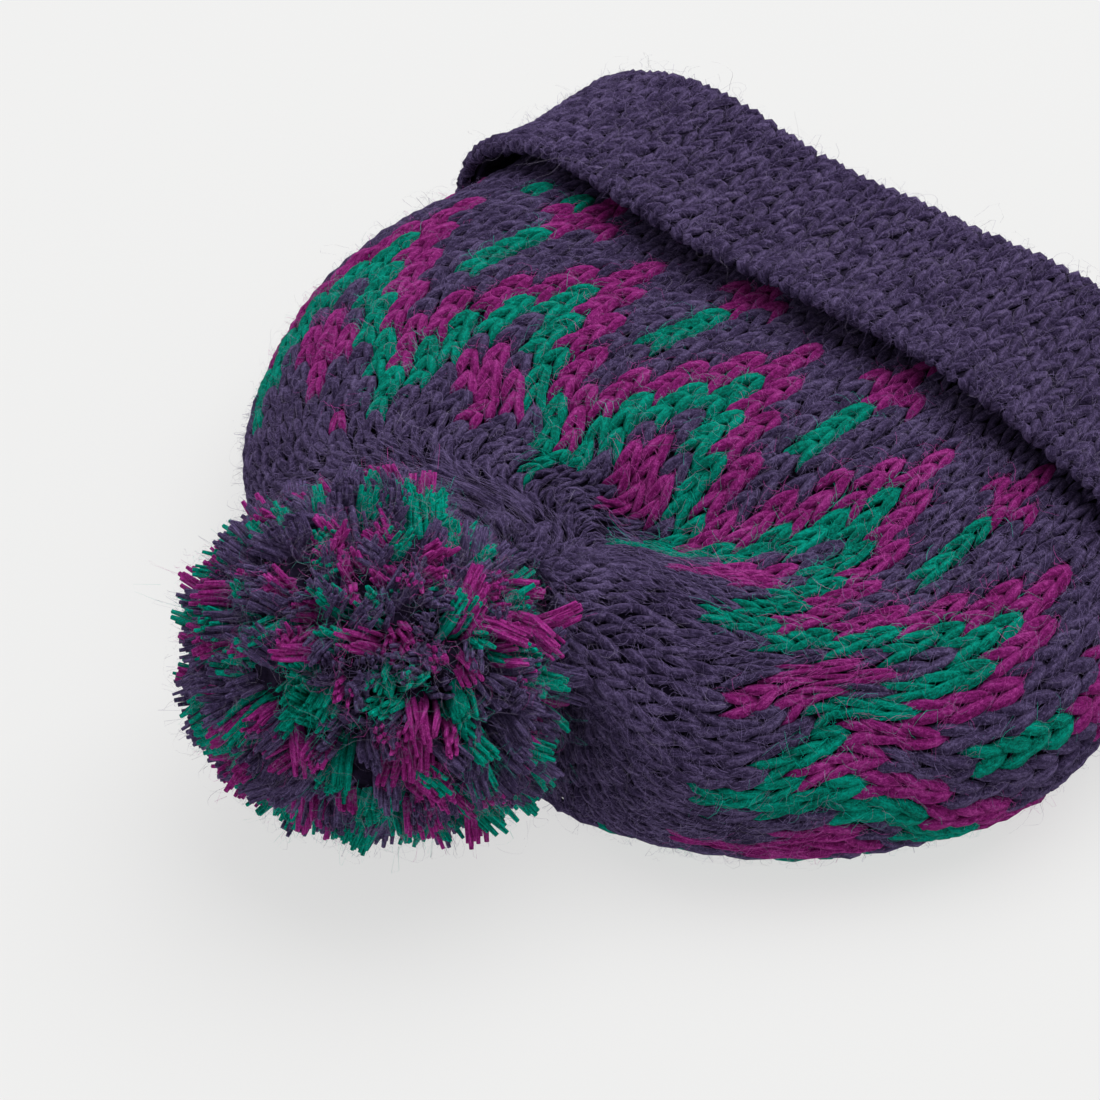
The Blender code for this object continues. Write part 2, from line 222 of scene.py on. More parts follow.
# Wool: a dark, a middle and a light tone of each colour
PURPLE = ((0.010, 0.006, 0.023), (0.048, 0.033, 0.086), (0.150, 0.113, 0.240))
MAGENTA = ((0.075, 0.002, 0.045), (0.215, 0.010, 0.140), (0.420, 0.060, 0.300))
GREEN = ((0.000, 0.048, 0.034), (0.000, 0.175, 0.125), (0.000, 0.360, 0.270))
TONES = {"purple": PURPLE, "magenta": MAGENTA, "green": GREEN}
STRAY_TONES = ((0.08, 0.06, 0.11), (0.18, 0.15, 0.24), (0.34, 0.30, 0.42))
# Painted shade: the backing and the pompom's heart are far darker than the wool, for the shade between and
# behind the stitches and deep in the pompom
PAINTED_SHADE_TONES = ((0.006, 0.004, 0.012), (0.026, 0.018, 0.046))
TIE_TONES = ((0.012, 0.008, 0.024), (0.055, 0.042, 0.095))
# Painted light: the pompom's strands are the hat's wool made this much lighter, to look more brightly lit
POMPOM_PAINTED_LIGHT = 1.75
HAIR_MIDDLE_LIGHTER = 1.3
HAIR_LIGHTER = 1.8
HAIR_GREY = 0.02
YARN_BUMP = 0.6
YARN_STREAKS = (9.0, 18.0, 1.0)      # along and round the yarn
POMPOM_BUMP = 0.8
POMPOM_STREAKS = (3.0, 16.0, 1.0)
PLY_PITCH = 1.60             # in centimetres, along the yarn, for one turn of a ply
PLIES = 3
FELT_SCALE = 1500.0          # lumps for each metre
DYE_SCALE = 140.0
TONE_PLACES = (0.40, 0.51, 0.64)
YARN_RELIEF = 0.0005
BACKING_SCALE = 420.0
BACKING_PLACES = (0.35, 0.70)
BACKING_BUMP = 0.7
BACKING_RELIEF = 0.0015

SEED = 11
draw = np.random.default_rng(SEED)


def smooth_step(low, high, value):
    t = np.clip((value - low) / (high - low), 0.0, 1.0)
    return t * t * (3 - 2 * t)


def unit(vectors):
    return vectors / np.maximum(np.linalg.norm(vectors, axis=-1, keepdims=True), 1e-12)


def arch(t, part):
    """Heights of a part of an arch, along t from 0 to 1."""
    start, share = part
    return np.sin(math.pi * (start + share * t))


def wrapped(value, size):
    """A value counted both ways from nought on a ring of a size."""
    return (value + size / 2) % size - size / 2


# The hat's shape, read from the CAD
def tree_of(node):
    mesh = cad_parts[node].data
    return BVHTree.FromPolygons([v.co for v in mesh.vertices], [p.vertices for p in mesh.polygons])


def even(points, count):
    """A closed ring of points divided into equal lengths."""
    closed = np.vstack([points, points[:1]])
    way = np.concatenate([[0.0], np.cumsum(np.linalg.norm(np.diff(closed, axis=0), axis=1))])
    wanted = np.linspace(0, way[-1], count, endpoint=False)
    return np.stack([np.interp(wanted, way, closed[:, k]) for k in range(3)], axis=1)


def ring(tree, y, fan=0.0):
    """The outer face where rays from all round meet it, in a section at y that leans to the gather by fan."""
    centre = Vector((SPINE.x, y, SPINE.z))
    to_gather = (GATHER - centre).normalized()
    points = []
    for k in range(RAYS):
        angle = 2 * math.pi * k / RAYS
        out = Vector((math.cos(angle), 0.0, FLATNESS * math.sin(angle))).normalized()
        out.y = LEAN * out.x
        way = (out * math.cos(fan) + to_gather * math.sin(fan)).normalized()
        hit = tree.ray_cast(centre + way * RAY_REACH, -way)[0]
        points.append(hit if hit is not None else points[-1])
    return even(np.array(points), COLUMNS * STEPS)


def outward(points):
    """The direction out of a closed ring at each of its points, across the hat."""
    across = np.roll(points, -1, 0) - np.roll(points, 1, 0)
    return unit(np.cross(across, np.array([0.0, -1.0, 0.0])))


def arc(ring_points, out, forward, radius, degrees):
    """Rings on an arc that starts from a ring: round a middle that lies under it."""
    middle = ring_points - out * radius
    return [middle + (out * math.sin(math.radians(angle)) + forward * math.cos(math.radians(angle))) * radius
            for angle in degrees]


def smoothed(points, times):
    """A sheet of points, closed across, with the facets of the CAD smoothed out."""
    for _ in range(times):
        points = (np.roll(points, 1, 1) + 2 * points + np.roll(points, -1, 1)) / 4
        inner = (points[:-2] + 2 * points[1:-1] + points[2:]) / 4
        points = np.concatenate([points[:1], inner, points[-1:]])
    return points


def way_along(rings):
    """The length from the first ring to each other, at each place round them."""
    steps = np.linalg.norm(np.diff(rings, axis=0), axis=2)
    return np.concatenate([np.zeros((1, rings.shape[1])), np.cumsum(steps, axis=0)])


def resampled(rings, way, wanted):
    """The points at wanted lengths along the rings, at each place round them."""
    return np.stack([np.stack([np.interp(wanted, way[:, k], rings[:, k, axis]) for axis in range(3)], -1)
                     for k in range(rings.shape[1])], axis=1)


def read_grid(grid, column, row):
    """A value of a grid that is closed across, at any column and row of it."""
    around = grid.shape[1]
    row = np.clip(row, 0, len(grid) - GRID_END)
    c0, r0 = np.floor(column).astype(int), np.floor(row).astype(int)
    cf, rf = column - c0, row - r0
    c0 %= around
    c1 = (c0 + 1) % around
    if grid.ndim == 3:
        cf, rf = cf[..., None], rf[..., None]
    low = grid[r0, c0] * (1 - cf) + grid[r0, c1] * cf
    high = grid[r0 + 1, c0] * (1 - cf) + grid[r0 + 1, c1] * cf
    return low * (1 - rf) + high * rf


class Sheet:
    """A sheet of knit as points and normals, read at any column, row and height over it."""

    def __init__(self, points, first_row, facing):
        across = np.roll(points, -1, 1) - np.roll(points, 1, 1)
        along = np.gradient(points, axis=0)
        way = unit(along)
        slide = np.sum(across * way, axis=-1)
        self.points = points
        self.first_row = first_row
        self.normals = unit(np.cross(across, along)) * facing
        self.widths = np.linalg.norm(across - way * slide[..., None], axis=-1) / 2 * STEPS
        self.heights = np.linalg.norm(along, axis=-1) * STEPS
        self.slants = slide / 2 * STEPS / np.maximum(self.heights, LEAST_STITCH)   # rows for each column
        self.depths = self.unevenness()

    def unevenness(self):
        """How deep the knit lies under the even sheet."""
        rows, columns = np.indices(self.points.shape[:2]) / STEPS
        crests = [round(COLUMNS / wave) for wave, _, _ in WAVES]
        return sum(depth * (np.sin(2 * math.pi * (crest * columns / COLUMNS + rows / height)) - 1)
                   for crest, (_, height, depth) in zip(crests, WAVES))

    def read(self, grid, column, row):
        return read_grid(grid, column * STEPS, (row - self.first_row) * STEPS)

    def at(self, column, row, height):
        over = height + self.read(self.depths, column, row)
        return self.read(self.points, column, row) + self.normal(column, row) * over[..., None]

    def normal(self, column, row):
        return unit(self.read(self.normals, column, row))


# The crown's sheet: how its columns and rows run over the solid
def first_row_way(share):
    """The length from the hem to the pattern's first row, by the share of the way round."""
    humps = [rise * np.exp(-((wrapped(share - middle, 1) / width) ** 2)) for middle, width, rise in HEM_HUMPS]
    return HEM_WAY + sum(humps)


def column_lean(column, row):
    """How many stitches a column lies to the side of its place at the hem."""
    near = NEAR_SHIFT * np.exp(-((wrapped(column - NEAR_COLUMN, COLUMNS) / NEAR_WIDTH) ** 2))
    crease = np.exp(-((wrapped(column - CREASE_COLUMN, COLUMNS) / CREASE_WIDTH) ** 2))
    end = END_LEAN * (1 - crease) * smooth_step(*END_LEAN_ROWS, row)
    return near * (1 - smooth_step(*NEAR_FADE_ROWS, row)) + end


def row_turn(column, row):
    """How many rows further to the gather the near side hangs."""
    column = wrapped(column, COLUMNS)
    place = column - NEAR_DRIFT * smooth_step(*NEAR_DRIFT_ROWS, row)
    stretch = smooth_step(*NEAR_STRETCH_ROWS, row) * (1 - smooth_step(*NEAR_STRETCH_COLUMNS, column))
    hang = NEAR_HANG + NEAR_STRETCH * stretch
    return hang * (1 - smooth_step(*NEAR_END, place)) * smooth_step(*NEAR_START, place)


def crown_outline():
    """Rings of the crown's outer face from the mouth to the gather, and the length to each from the hem."""
    tree = tree_of("crown")
    ys = np.arange(MOUTH_Y, FAN_Y, -STATION_STEP)
    rings = [ring(tree, y) for y in ys]
    rings += [ring(tree, FAN_Y, fan) for fan in np.arange(0, math.pi / 2, FAN_STEP)]
    rings.append(np.repeat(rings[-1].mean(axis=0)[None], COLUMNS * STEPS, axis=0))
    rings = np.array(rings)
    way = way_along(rings)
    hem = np.array([np.interp(-HEM_Y, -ys, way[:len(ys), k]) for k in range(COLUMNS * STEPS)])
    return rings, way - hem


def crown_sheet(rings, way):
    ways = np.arange(way.min(), way.max(), WAY_STEP)
    surface = resampled(rings, way, ways)
    every_row = np.arange(FIRST_ROW, LAST_ROW + 0.1, 1 / STEPS)
    columns, rows = np.meshgrid(np.arange(COLUMNS * STEPS) / STEPS, every_row)
    place = columns + column_lean(columns, rows)
    turned = np.minimum(rows, PATTERN_ROWS) + END_ROW_SHARE * np.maximum(rows - PATTERN_ROWS, 0)
    turned = turned + row_turn(place, rows)
    wanted = first_row_way((place / COLUMNS) % 1) + ROW * turned
    points = read_grid(surface, place * STEPS, (wanted - ways[0]) / WAY_STEP)
    return Sheet(smoothed(points, CROWN_SMOOTHING), FIRST_ROW, 1)


def cuff_face():
    """Rings of the cuff's outer face, from its hem to its fold."""
    tree = tree_of("cuff")
    away = wrapped(np.arange(COLUMNS * STEPS) / (COLUMNS * STEPS) - HEM_RAISE_SHARE, 1)
    raised = HEM_RAISE * np.exp(-((away / HEM_RAISE_WIDTH) ** 2))
    ys = np.arange(HEM_Y + KNIT_WALL / 2, FOLD_Y, STATION_STEP)
    face = smoothed(np.array([ring(tree, y) for y in ys]), CUFF_FACE_SMOOTHING)
    lift = raised[None] * (1 - smooth_step(ys[0], ys[-1], ys))[:, None]
    steps = np.clip(lift / STATION_STEP, 0, len(ys) - GRID_END) + np.arange(len(ys))[:, None]
    return read_grid(face, np.broadcast_to(np.arange(COLUMNS * STEPS), steps.shape), steps)


def cuff_sheet():
    """The cuff's rolled hem, its outer face, its fold, and the crown's inner face past it."""
    face = cuff_face()
    hem = arc(face[0], outward(face[0]), np.array([0.0, -1.0, 0.0]), KNIT_WALL / 2, HEM_ANGLES)
    fold = arc(face[-1], outward(face[-1]), np.array([0.0, 1.0, 0.0]), KNIT_WALL + TURN_GAP / 2, FOLD_ANGLES)
    inside = [fold[-1] - np.array([0.0, back * STATION_STEP, 0.0]) for back in range(1, INSIDE_RINGS + 1)]
    rings = np.concatenate([hem, face, fold, inside])
    wanted = np.arange(0, CUFF_ROWS + 0.5 / STEPS, 1 / STEPS) * CUFF_ROW
    return Sheet(smoothed(resampled(rings, way_along(rings), wanted), CUFF_SMOOTHING), 0, -1)


# Meshes from many small closed tubes and ribbons
def add_piece(name, points, faces, coords, surface):
    """An object from points, faces and a place along and round the yarn for each corner of each face."""
    mesh = bpy.data.meshes.new(name)
    mesh.from_pydata(points.tolist(), [], faces)
    layer = mesh.uv_layers.new(name="yarn")
    layer.data.foreach_set("uv", coords.astype(np.float32).ravel())
    mesh.materials.append(surface)
    mesh.shade_smooth()
    obj = bpy.data.objects.new(name, mesh)
    bpy.context.scene.collection.objects.link(obj)
    return obj


def tubes(centres, normals, half_widths, half_heights, sides, phases):
    """Closed tubes along rows of points: their points, faces and places on the yarn."""
    count, stations = centres.shape[:2]
    along = unit(np.gradient(centres, axis=1))
    side = unit(np.cross(along, normals))
    up = np.cross(side, along)
    angles = 2 * math.pi * np.arange(sides) / sides
    points = (centres[:, :, None]
              + side[:, :, None] * (half_widths[:, :, None] * np.cos(angles))[..., None]
              + up[:, :, None] * (half_heights[:, :, None] * np.sin(angles))[..., None])
    number = np.arange(count * stations * sides).reshape(count, stations, sides)
    following = np.roll(number, -1, 2)
    quads = np.stack([number[:, :-1], number[:, 1:], following[:, 1:], following[:, :-1]], axis=-1)
    caps = np.concatenate([number[:, 0], number[:, -1, ::-1]])
    coords = tube_coords(centres, sides, phases)
    return points.reshape(-1, 3), quads.reshape(-1, 4).tolist() + caps.tolist(), coords


def tube_coords(centres, sides, phases):
    """Places on the yarn for the corners of tubes: centimetres along it, and the share of the way round."""
    count, stations = centres.shape[:2]
    lengths = np.linalg.norm(np.diff(centres, axis=1), axis=2)
    way = np.concatenate([np.zeros((count, 1)), np.cumsum(lengths, axis=1)], axis=1) * 100 + phases[:, None]
    shape = (count, stations - 1, sides)
    near, far = np.broadcast_to(way[:, :-1, None], shape), np.broadcast_to(way[:, 1:, None], shape)
    low = np.broadcast_to(np.arange(sides) / sides, shape)
    high = low + 1 / sides
    walls = np.stack([np.stack([near, low], -1), np.stack([far, low], -1),
                      np.stack([far, high], -1), np.stack([near, high], -1)], axis=-2)
    cap_way = np.concatenate([way[:, 0], way[:, -1]])
    caps = np.stack([np.broadcast_to(cap_way[:, None], (2 * count, sides)),
                     np.broadcast_to(np.arange(sides) / sides, (2 * count, sides))], axis=-1)
    return np.concatenate([walls.reshape(-1, 2), caps.reshape(-1, 2)])


def ribbons(centres, sideways, half_widths):
    """Thin flat ribbons along rows of points."""
    count, stations = centres.shape[:2]
    aside = sideways * half_widths[..., None]
    points = np.stack([centres - aside, centres + aside], 2)
    number = np.arange(count * stations * 2).reshape(count, stations, 2)
    quads = np.stack([number[:, :-1, 0], number[:, :-1, 1], number[:, 1:, 1], number[:, 1:, 0]], axis=-1)
    coords = np.zeros((count, stations - 1, 4, 2))
    coords[..., 0] = draw.uniform(0, 10, count)[:, None, None]
    return points.reshape(-1, 3), quads.reshape(-1, 4).tolist(), coords.reshape(-1, 2)


def shell(name, rings, top, bottom, closed_end, facing, surface):
    """A closed wall between two offsets from a sheet of rings, with the far end closed over where set."""
    across = np.roll(rings, -1, 1) - np.roll(rings, 1, 1)
    along = np.gradient(rings, axis=0)
    normals = unit(np.cross(across, along)) * facing
    count, around = rings.shape[:2]
    points = np.concatenate([rings + normals * top, rings + normals * bottom]).reshape(-1, 3)
    number = np.arange(2 * count * around).reshape(2, count, around)
    following = np.roll(number, -1, 2)
    faces = []
    for here, beside, turn in zip(number, following, (facing, -facing)):
        quads = np.stack([here[:-1], beside[:-1], beside[1:], here[1:]], -1)
        faces += quads.reshape(-1, 4)[:, ::turn].tolist()
    ends = [(0, 1)] if closed_end else [(0, 1), (count - 1, -1)]
    for station, turn in ends:
        here, beside = number[:, station], following[:, station]
        quads = np.stack([here[0], here[1], beside[1], beside[0]], -1)
        faces += quads[:, ::turn * facing].tolist()
    if closed_end:
        faces += [number[0, -1, ::facing].tolist(), number[1, -1, ::-facing].tolist()]
    corners = sum(len(face) for face in faces)
    return add_piece(name, points, faces, np.zeros((corners, 2)), surface)


# Stitches
def legs(sheet, columns, rows, spans, sides=LEG_SIDES):
    """The tubes of both legs of each stitch."""
    kept = sheet.read(sheet.widths, columns, rows) * spans > LEAST_STITCH
    kept &= sheet.read(sheet.heights, columns, rows) > LEAST_STITCH
    columns, rows, spans = columns[kept], rows[kept], spans[kept]
    count = len(columns)
    side = np.tile([-1.0, 1.0], count)[:, None]
    t = np.linspace(0, 1, LEG_SEGMENTS + 1)[None]
    nudge = np.repeat(draw.normal(0, STITCH_UNEVEN, (count, 2)), 2, axis=0)
    span = np.repeat(spans, 2)[:, None]
    aside = (side * (LEG_FOOT + (LEG_TOP - LEG_FOOT) * smooth_step(0, 1, t)) + nudge[:, :1]) * span
    slip = np.repeat(sheet.read(sheet.slants, columns, rows), 2)[:, None] * aside
    slip = np.clip(slip, -MOST_SLIP, MOST_SLIP)
    column = np.repeat(columns, 2)[:, None] + aside
    row = np.repeat(rows, 2)[:, None] + LEG_START + LEG_LENGTH * t + nudge[:, 1:] - slip
    bulge = np.sin(math.pi * t) ** LEG_ROUNDNESS
    depth = LEG_DEPTH * draw.uniform(*LEG_DEPTH_SHARES, (2 * count, 1))
    centres = sheet.at(column, row, -LEG_DIP + (LEG_DIP - depth) * bulge)
    width = sheet.read(sheet.widths, column, row) * span
    width = width * (LEG_POINT + (1 - LEG_POINT) * bulge) * draw.uniform(*LEG_WIDTH_SHARES, (2 * count, 1))
    return tubes(centres, sheet.normal(column, row), width * LEG_HALF_WIDTH, width * LEG_HALF_HEIGHT,
                 sides, draw.uniform(0, 1, 2 * count))


def chart(column, row):
    """The colour of a stitch of the crown, by its row and how many columns it lies from a peak."""
    off_peak = abs((column - PEAK_COLUMN + REPEAT // 2) % REPEAT - REPEAT // 2)
    from_zigzag = row - 2 * off_peak
    bar = off_peak == 4 and 1 <= row <= 4
    hem_diamond = (off_peak == 4 and -3 <= row <= 0) or (off_peak == 3 and row == -1)
    end_diamond = (off_peak == 0 and 8 <= row <= 12) or (off_peak == 1 and 9 <= row <= 10)
    if 0 <= from_zigzag <= 2:
        return MAGENTA_KIND
    if 3 <= from_zigzag <= 5 or bar:
        return GREEN_KIND
    if hem_diamond or end_diamond:
        return MAGENTA_KIND
    return DOTS.get((column, row), PURPLE_KIND)


def crown_stitches(sheet):
    """Columns, rows, spans in columns and colours of all the crown's stitches."""
    stitches = []
    for row in range(FIRST_ROW, LAST_ROW - 1):
        if row < PATTERN_ROWS:
            stitches += [(column + COLUMN_PHASE, row, 1, chart(column, row)) for column in range(COLUMNS)]
            continue
        way = np.concatenate([[0.0], np.cumsum(sheet.widths[(row - FIRST_ROW) * STEPS] / STEPS)])
        count = min(COLUMNS, round(way[-1] / STITCH))
        edges = np.interp(np.linspace(0, way[-1], count + 1), way, np.arange(len(way)) / STEPS)
        stitches += [((low + high) / 2, row, high - low, 0) for low, high in zip(edges, edges[1:])]
    return np.array(stitches)


# Hairs
def spread(sheet, count, first, last):
    """Columns and rows of places that are spread evenly over a stretch of a sheet, clear of the floor."""
    columns, rows = draw.uniform(0, COLUMNS, count), draw.uniform(first, last, count)
    area = sheet.read(sheet.widths, columns, rows) * sheet.read(sheet.heights, columns, rows)
    kept = draw.uniform(0, 1, count) < area / (STITCH * ROW)
    kept &= sheet.read(sheet.points, columns, rows)[:, 2] > FUZZ_LOWEST
    return columns[kept], rows[kept]


def fuzz(sheet, columns, rows):
    """Short thin hairs that lie over the stitches and lift off them."""
    count = len(columns)
    lengths = draw.uniform(*HAIR_LENGTHS, (count, 1))
    lift = draw.exponential(HAIR_LIFT, (count, 1))
    t = np.linspace(0, 1, HAIR_STATIONS)[None]
    heading = draw.uniform(0, 2 * math.pi, (count, 1))
    heading = heading + draw.normal(0, HAIR_CURL, (count, 1)) * t
    width = np.maximum(sheet.read(sheet.widths, columns, rows), LEAST_STITCH / 3)[:, None]
    height = np.maximum(sheet.read(sheet.heights, columns, rows), LEAST_STITCH / 3)[:, None]
    column = columns[:, None] + lengths * t * np.cos(heading) / width
    row = rows[:, None] + lengths * t * np.sin(heading) / height
    centres = sheet.at(column, row, HAIR_ROOT + lift * arch(t, HAIR_ARCH))
    sideways = unit(np.cross(np.gradient(centres, axis=1), sheet.normal(column, row)))
    share = draw.uniform(*HAIR_WIDTH_SHARES, (count, 1))
    return ribbons(centres, sideways, HAIR_HALF_WIDTH * share * (1 - HAIR_TAPER * t))


def stray_hairs(starts, outs, lengths, lift, stations=STRAY_STATIONS):
    """Long curly hairs that stand off a surface here and there."""
    count = len(starts)
    t = np.linspace(0, 1, stations)[None]
    heading = draw.uniform(0, 2 * math.pi, (count, 1)) + draw.normal(0, STRAY_TURN, (count, 1)) * t
    swing = draw.uniform(*STRAY_SWINGS, (count, 1))
    heading = heading + swing * np.sin(2 * math.pi * draw.uniform(*STRAY_SWING_TURNS, (count, 1)) * t)
    side = unit(np.cross(outs, draw.normal(0, 1, (count, 3))))
    other = np.cross(outs, side)
    step = (lengths / (stations - 1))[:, None, None]
    moves = (side[:, None] * np.cos(heading)[..., None] + other[:, None] * np.sin(heading)[..., None]) * step
    rise = draw.exponential(lift, (count, 1)) * arch(t, STRAY_ARCH)
    centres = starts[:, None] + np.cumsum(moves, axis=1) + outs[:, None] * rise[..., None]
    centres[..., 2] = np.maximum(centres[..., 2], FUZZ_LOWEST / 2)
    sideways = unit(np.cross(np.gradient(centres, axis=1), outs[:, None]))
    share = draw.uniform(*STRAY_WIDTH_SHARES, (count, 1))
    return ribbons(centres, sideways, STRAY_HALF_WIDTH * share * (1 - STRAY_TAPER * t))


def sheet_strays(sheet, count, first, last):
    """Stray hairs over a stretch of a sheet."""
    columns, rows = spread(sheet, count, first, last)
    starts = sheet.read(sheet.points, columns, rows)
    lengths = draw.uniform(*STRAY_LENGTHS, len(columns))
    return stray_hairs(starts, sheet.normal(columns, rows), lengths, STRAY_LIFT)


def pompom_fuzz(strands):
    """Short hairs along the outer ends of strands."""
    count = int(POMPOM_FUZZ * len(strands))
    chosen = draw.choice(len(strands), count)
    last, tips = strands[chosen, -2], strands[chosen, -1]
    starts = last + (tips - last) * draw.uniform(*POMPOM_FUZZ_PLACES, (count, 1))
    lengths = draw.uniform(*HAIR_LENGTHS, count)
    return stray_hairs(starts, unit(starts - POMPOM_MIDDLE), lengths, STRAY_LIFT, HAIR_STATIONS)


def pompom_strays(tips):
    """Stray hairs from some of the strands' tips."""
    starts = tips[draw.choice(len(tips), POMPOM_STRAYS, replace=False)]
    outs = unit(starts - POMPOM_MIDDLE)
    lengths = draw.uniform(*POMPOM_STRAY_LENGTHS, POMPOM_STRAYS)
    return stray_hairs(starts - outs * POMPOM_STRAY_ROOT, outs, lengths, POMPOM_STRAY_LIFT)


# The pompom's strands
def sphere_directions(count):
    """Directions spread evenly over a sphere, on a golden spiral."""
    golden = math.pi * (3 - math.sqrt(5))
    k = np.arange(count)
    z = 1 - 2 * (k + 0.5) / count
    across = np.sqrt(1 - z * z)
    return np.stack([across * np.cos(golden * k), across * np.sin(golden * k), z], axis=1)


def pompom_reach(tree, direction):
    """How far the pompom's solid reaches near a direction."""
    reach = 0.0
    for _ in range(REACH_RAYS):
        ray = Vector(unit(direction + draw.normal(0, REACH_SPREAD, 3)))
        hit = tree.ray_cast(Vector(POMPOM_MIDDLE) + ray * RAY_REACH, -ray)[0]
        reach = max(reach, (hit - Vector(POMPOM_MIDDLE)).length if hit else 0.0)
    return reach


def clump(tree, direction):
    """Rows of points along the strands of one clump, which lean together."""
    reach = pompom_reach(tree, direction)
    side = unit(np.cross(direction, draw.normal(0, 1, 3)))
    other = np.cross(direction, side)
    lean = side * draw.normal(0, CLUMP_LEAN) + other * draw.normal(0, CLUMP_LEAN)
    reach -= draw.uniform(0, CLUMP_SHORTER)
    t = np.linspace(0, 1, STRAND_SEGMENTS + 1)[:, None]
    strands = []
    for _ in range(POMPOM_STRANDS // POMPOM_CLUMPS):
        angle, out = draw.uniform(0, 2 * math.pi), math.sqrt(draw.uniform(0, 1))
        aside = (side * math.cos(angle) + other * math.sin(angle)) * CLUMP_HALF_WIDTH * out
        length = reach - draw.uniform(0.0, STRAND_SHORTER) - CLUMP_DOME * out
        tip = POMPOM_MIDDLE + direction * length + aside * CLUMP_TIP_SHARE + lean
        root = POMPOM_MIDDLE + direction * reach * CORE_SHARE + aside * CLUMP_ROOT_SHARE
        bend = -lean * CLUMP_LEAN_BEND * np.sin(math.pi * t) + draw.normal(0, STRAND_BEND, 3) * t
        line = root + (tip - root) * t + bend
        line[:, 2] = np.maximum(line[:, 2], STRAND_LOWEST + draw.uniform(0, STRAND_LOWEST_SPREAD))
        strands.append(line)
    return strands


def pompom_strands():
    """Rows of points along the pompom's cut strands, for each colour, and those of all colours."""
    tree = tree_of("pompom")
    uneven = draw.normal(0, CLUMP_UNEVEN, (POMPOM_CLUMPS, 3))
    directions = unit(sphere_directions(POMPOM_CLUMPS) + uneven)
    kinds = draw.choice(len(TONES), POMPOM_CLUMPS, p=COLOUR_SHARES)
    clumps = np.array([clump(tree, direction) for direction in directions])
    coloured = [clumps[kinds == kind].reshape(-1, STRAND_SEGMENTS + 1, 3) for kind in range(len(TONES))]
    return coloured, clumps.reshape(-1, STRAND_SEGMENTS + 1, 3)


# Materials
class Tree:
    """A material's nodes, added and joined in short lines."""

    def __init__(self, name):
        self.material = bpy.data.materials.new(name)
        self.material.use_nodes = True
        self.nodes = self.material.node_tree.nodes
        self.shader = self.nodes["Principled BSDF"]

    def add(self, kind, inputs=(), **settings):
        node = self.nodes.new(kind)
        for name, value in settings.items():
            setattr(node, name, value)
        for key, value in dict(inputs).items():
            self.put(node.inputs[key], value)
        return node

    def put(self, socket, value):
        if isinstance(value, bpy.types.NodeSocket):
            self.material.node_tree.links.new(value, socket)
        else:
            socket.default_value = value

    def look(self, inputs):
        """Sets or joins inputs of the shader."""
        for name, value in inputs.items():
            self.put(self.shader.inputs[name], value)

    def math(self, operation, first, second=0.0):
        node = self.add("ShaderNodeMath", operation=operation)
        self.put(node.inputs[0], first)
        self.put(node.inputs[1], second)
        return node.outputs[0]

    def blend(self, parts):
        """The sum of values, each times its weight."""
        terms = [self.math("MULTIPLY", value, weight) for value, weight in parts]
        total = terms[0]
        for term in terms[1:]:
            total = self.math("ADD", total, term)
        return total

    def noise(self, place, **inputs):
        node = self.add("ShaderNodeTexNoise", {"Vector": place, **inputs})
        return node.outputs["Fac"]

    def ramp(self, value, places, tones):
        node = self.add("ShaderNodeValToRGB", {"Fac": value})
        for k, (place, tone) in enumerate(zip(places, tones)):
            stop = node.color_ramp.elements[k] if k < 2 else node.color_ramp.elements.new(place)
            stop.position = place
            stop.color = (*tone, 1.0)
        return node.outputs["Color"]

    def bump(self, height, strength, distance):
        node = self.add("ShaderNodeBump", {"Height": height, "Strength": strength, "Distance": distance})
        return node.outputs["Normal"]


def yarn_material(name, tones, bump=YARN_BUMP, streaks=YARN_STREAKS):
    """Wool yarn: plies that twist round each other, felted hairs over them and uneven dye, with painted shade
    where the felt and the plies lie low.
    """
    tree = Tree(name)
    place = tree.add("ShaderNodeUVMap", uv_map="yarn").outputs["UV"]
    split = tree.add("ShaderNodeSeparateXYZ", {"Vector": place})
    turn = tree.math("MULTIPLY", split.outputs["X"], 2 * math.pi / PLY_PITCH)
    round_yarn = tree.math("MULTIPLY", split.outputs["Y"], 2 * math.pi * PLIES)
    ply = tree.math("SINE", tree.math("ADD", turn, round_yarn))
    stretch = tree.add("ShaderNodeMapping", {"Vector": place, "Scale": streaks})
    hairs = tree.noise(stretch.outputs[0], Scale=1.0, Detail=3.0)
    where = tree.add("ShaderNodeTexCoord").outputs["Object"]
    felt = tree.noise(where, Scale=FELT_SCALE, Detail=4.0, Roughness=0.7, Distortion=1.2)
    dye = tree.noise(where, Scale=DYE_SCALE, Detail=2.0)
    # The felt's lumps and the plies' twist darken the tone where their relief lies low: partly the felt's own
    # mottling, partly painted shade in the hollows and in the grooves between the plies
    shade = tree.blend(((felt, 0.50), (hairs, 0.28), (dye, 0.22), (ply, 0.035)))
    relief = tree.blend(((ply, 0.45), (felt, 1.8)))
    tree.look({
        "Base Color": tree.ramp(shade, TONE_PLACES, tones),
        "Normal": tree.bump(relief, bump, YARN_RELIEF),
        "Roughness": 0.95,
        "Specular IOR Level": 0.08,
        "Sheen Weight": 0.40,
        "Sheen Roughness": 0.6,
        "Sheen Tint": (*tones[-1], 1.0),
    })
    return tree.material


def fabric_material(name, tones):
    """The dark inside of the knit, between and behind the stitches; with the backing's tones, far darker than
    the wool, it is painted shade.
    """
    tree = Tree(name)
    lumps = tree.noise(tree.add("ShaderNodeTexCoord").outputs["Object"], Scale=BACKING_SCALE, Detail=4.0)
    tree.look({
        "Base Color": tree.ramp(lumps, BACKING_PLACES, tones),
        "Normal": tree.bump(lumps, BACKING_BUMP, BACKING_RELIEF),
        "Roughness": 0.95,
        "Specular IOR Level": 0.1,
    })
    return tree.material


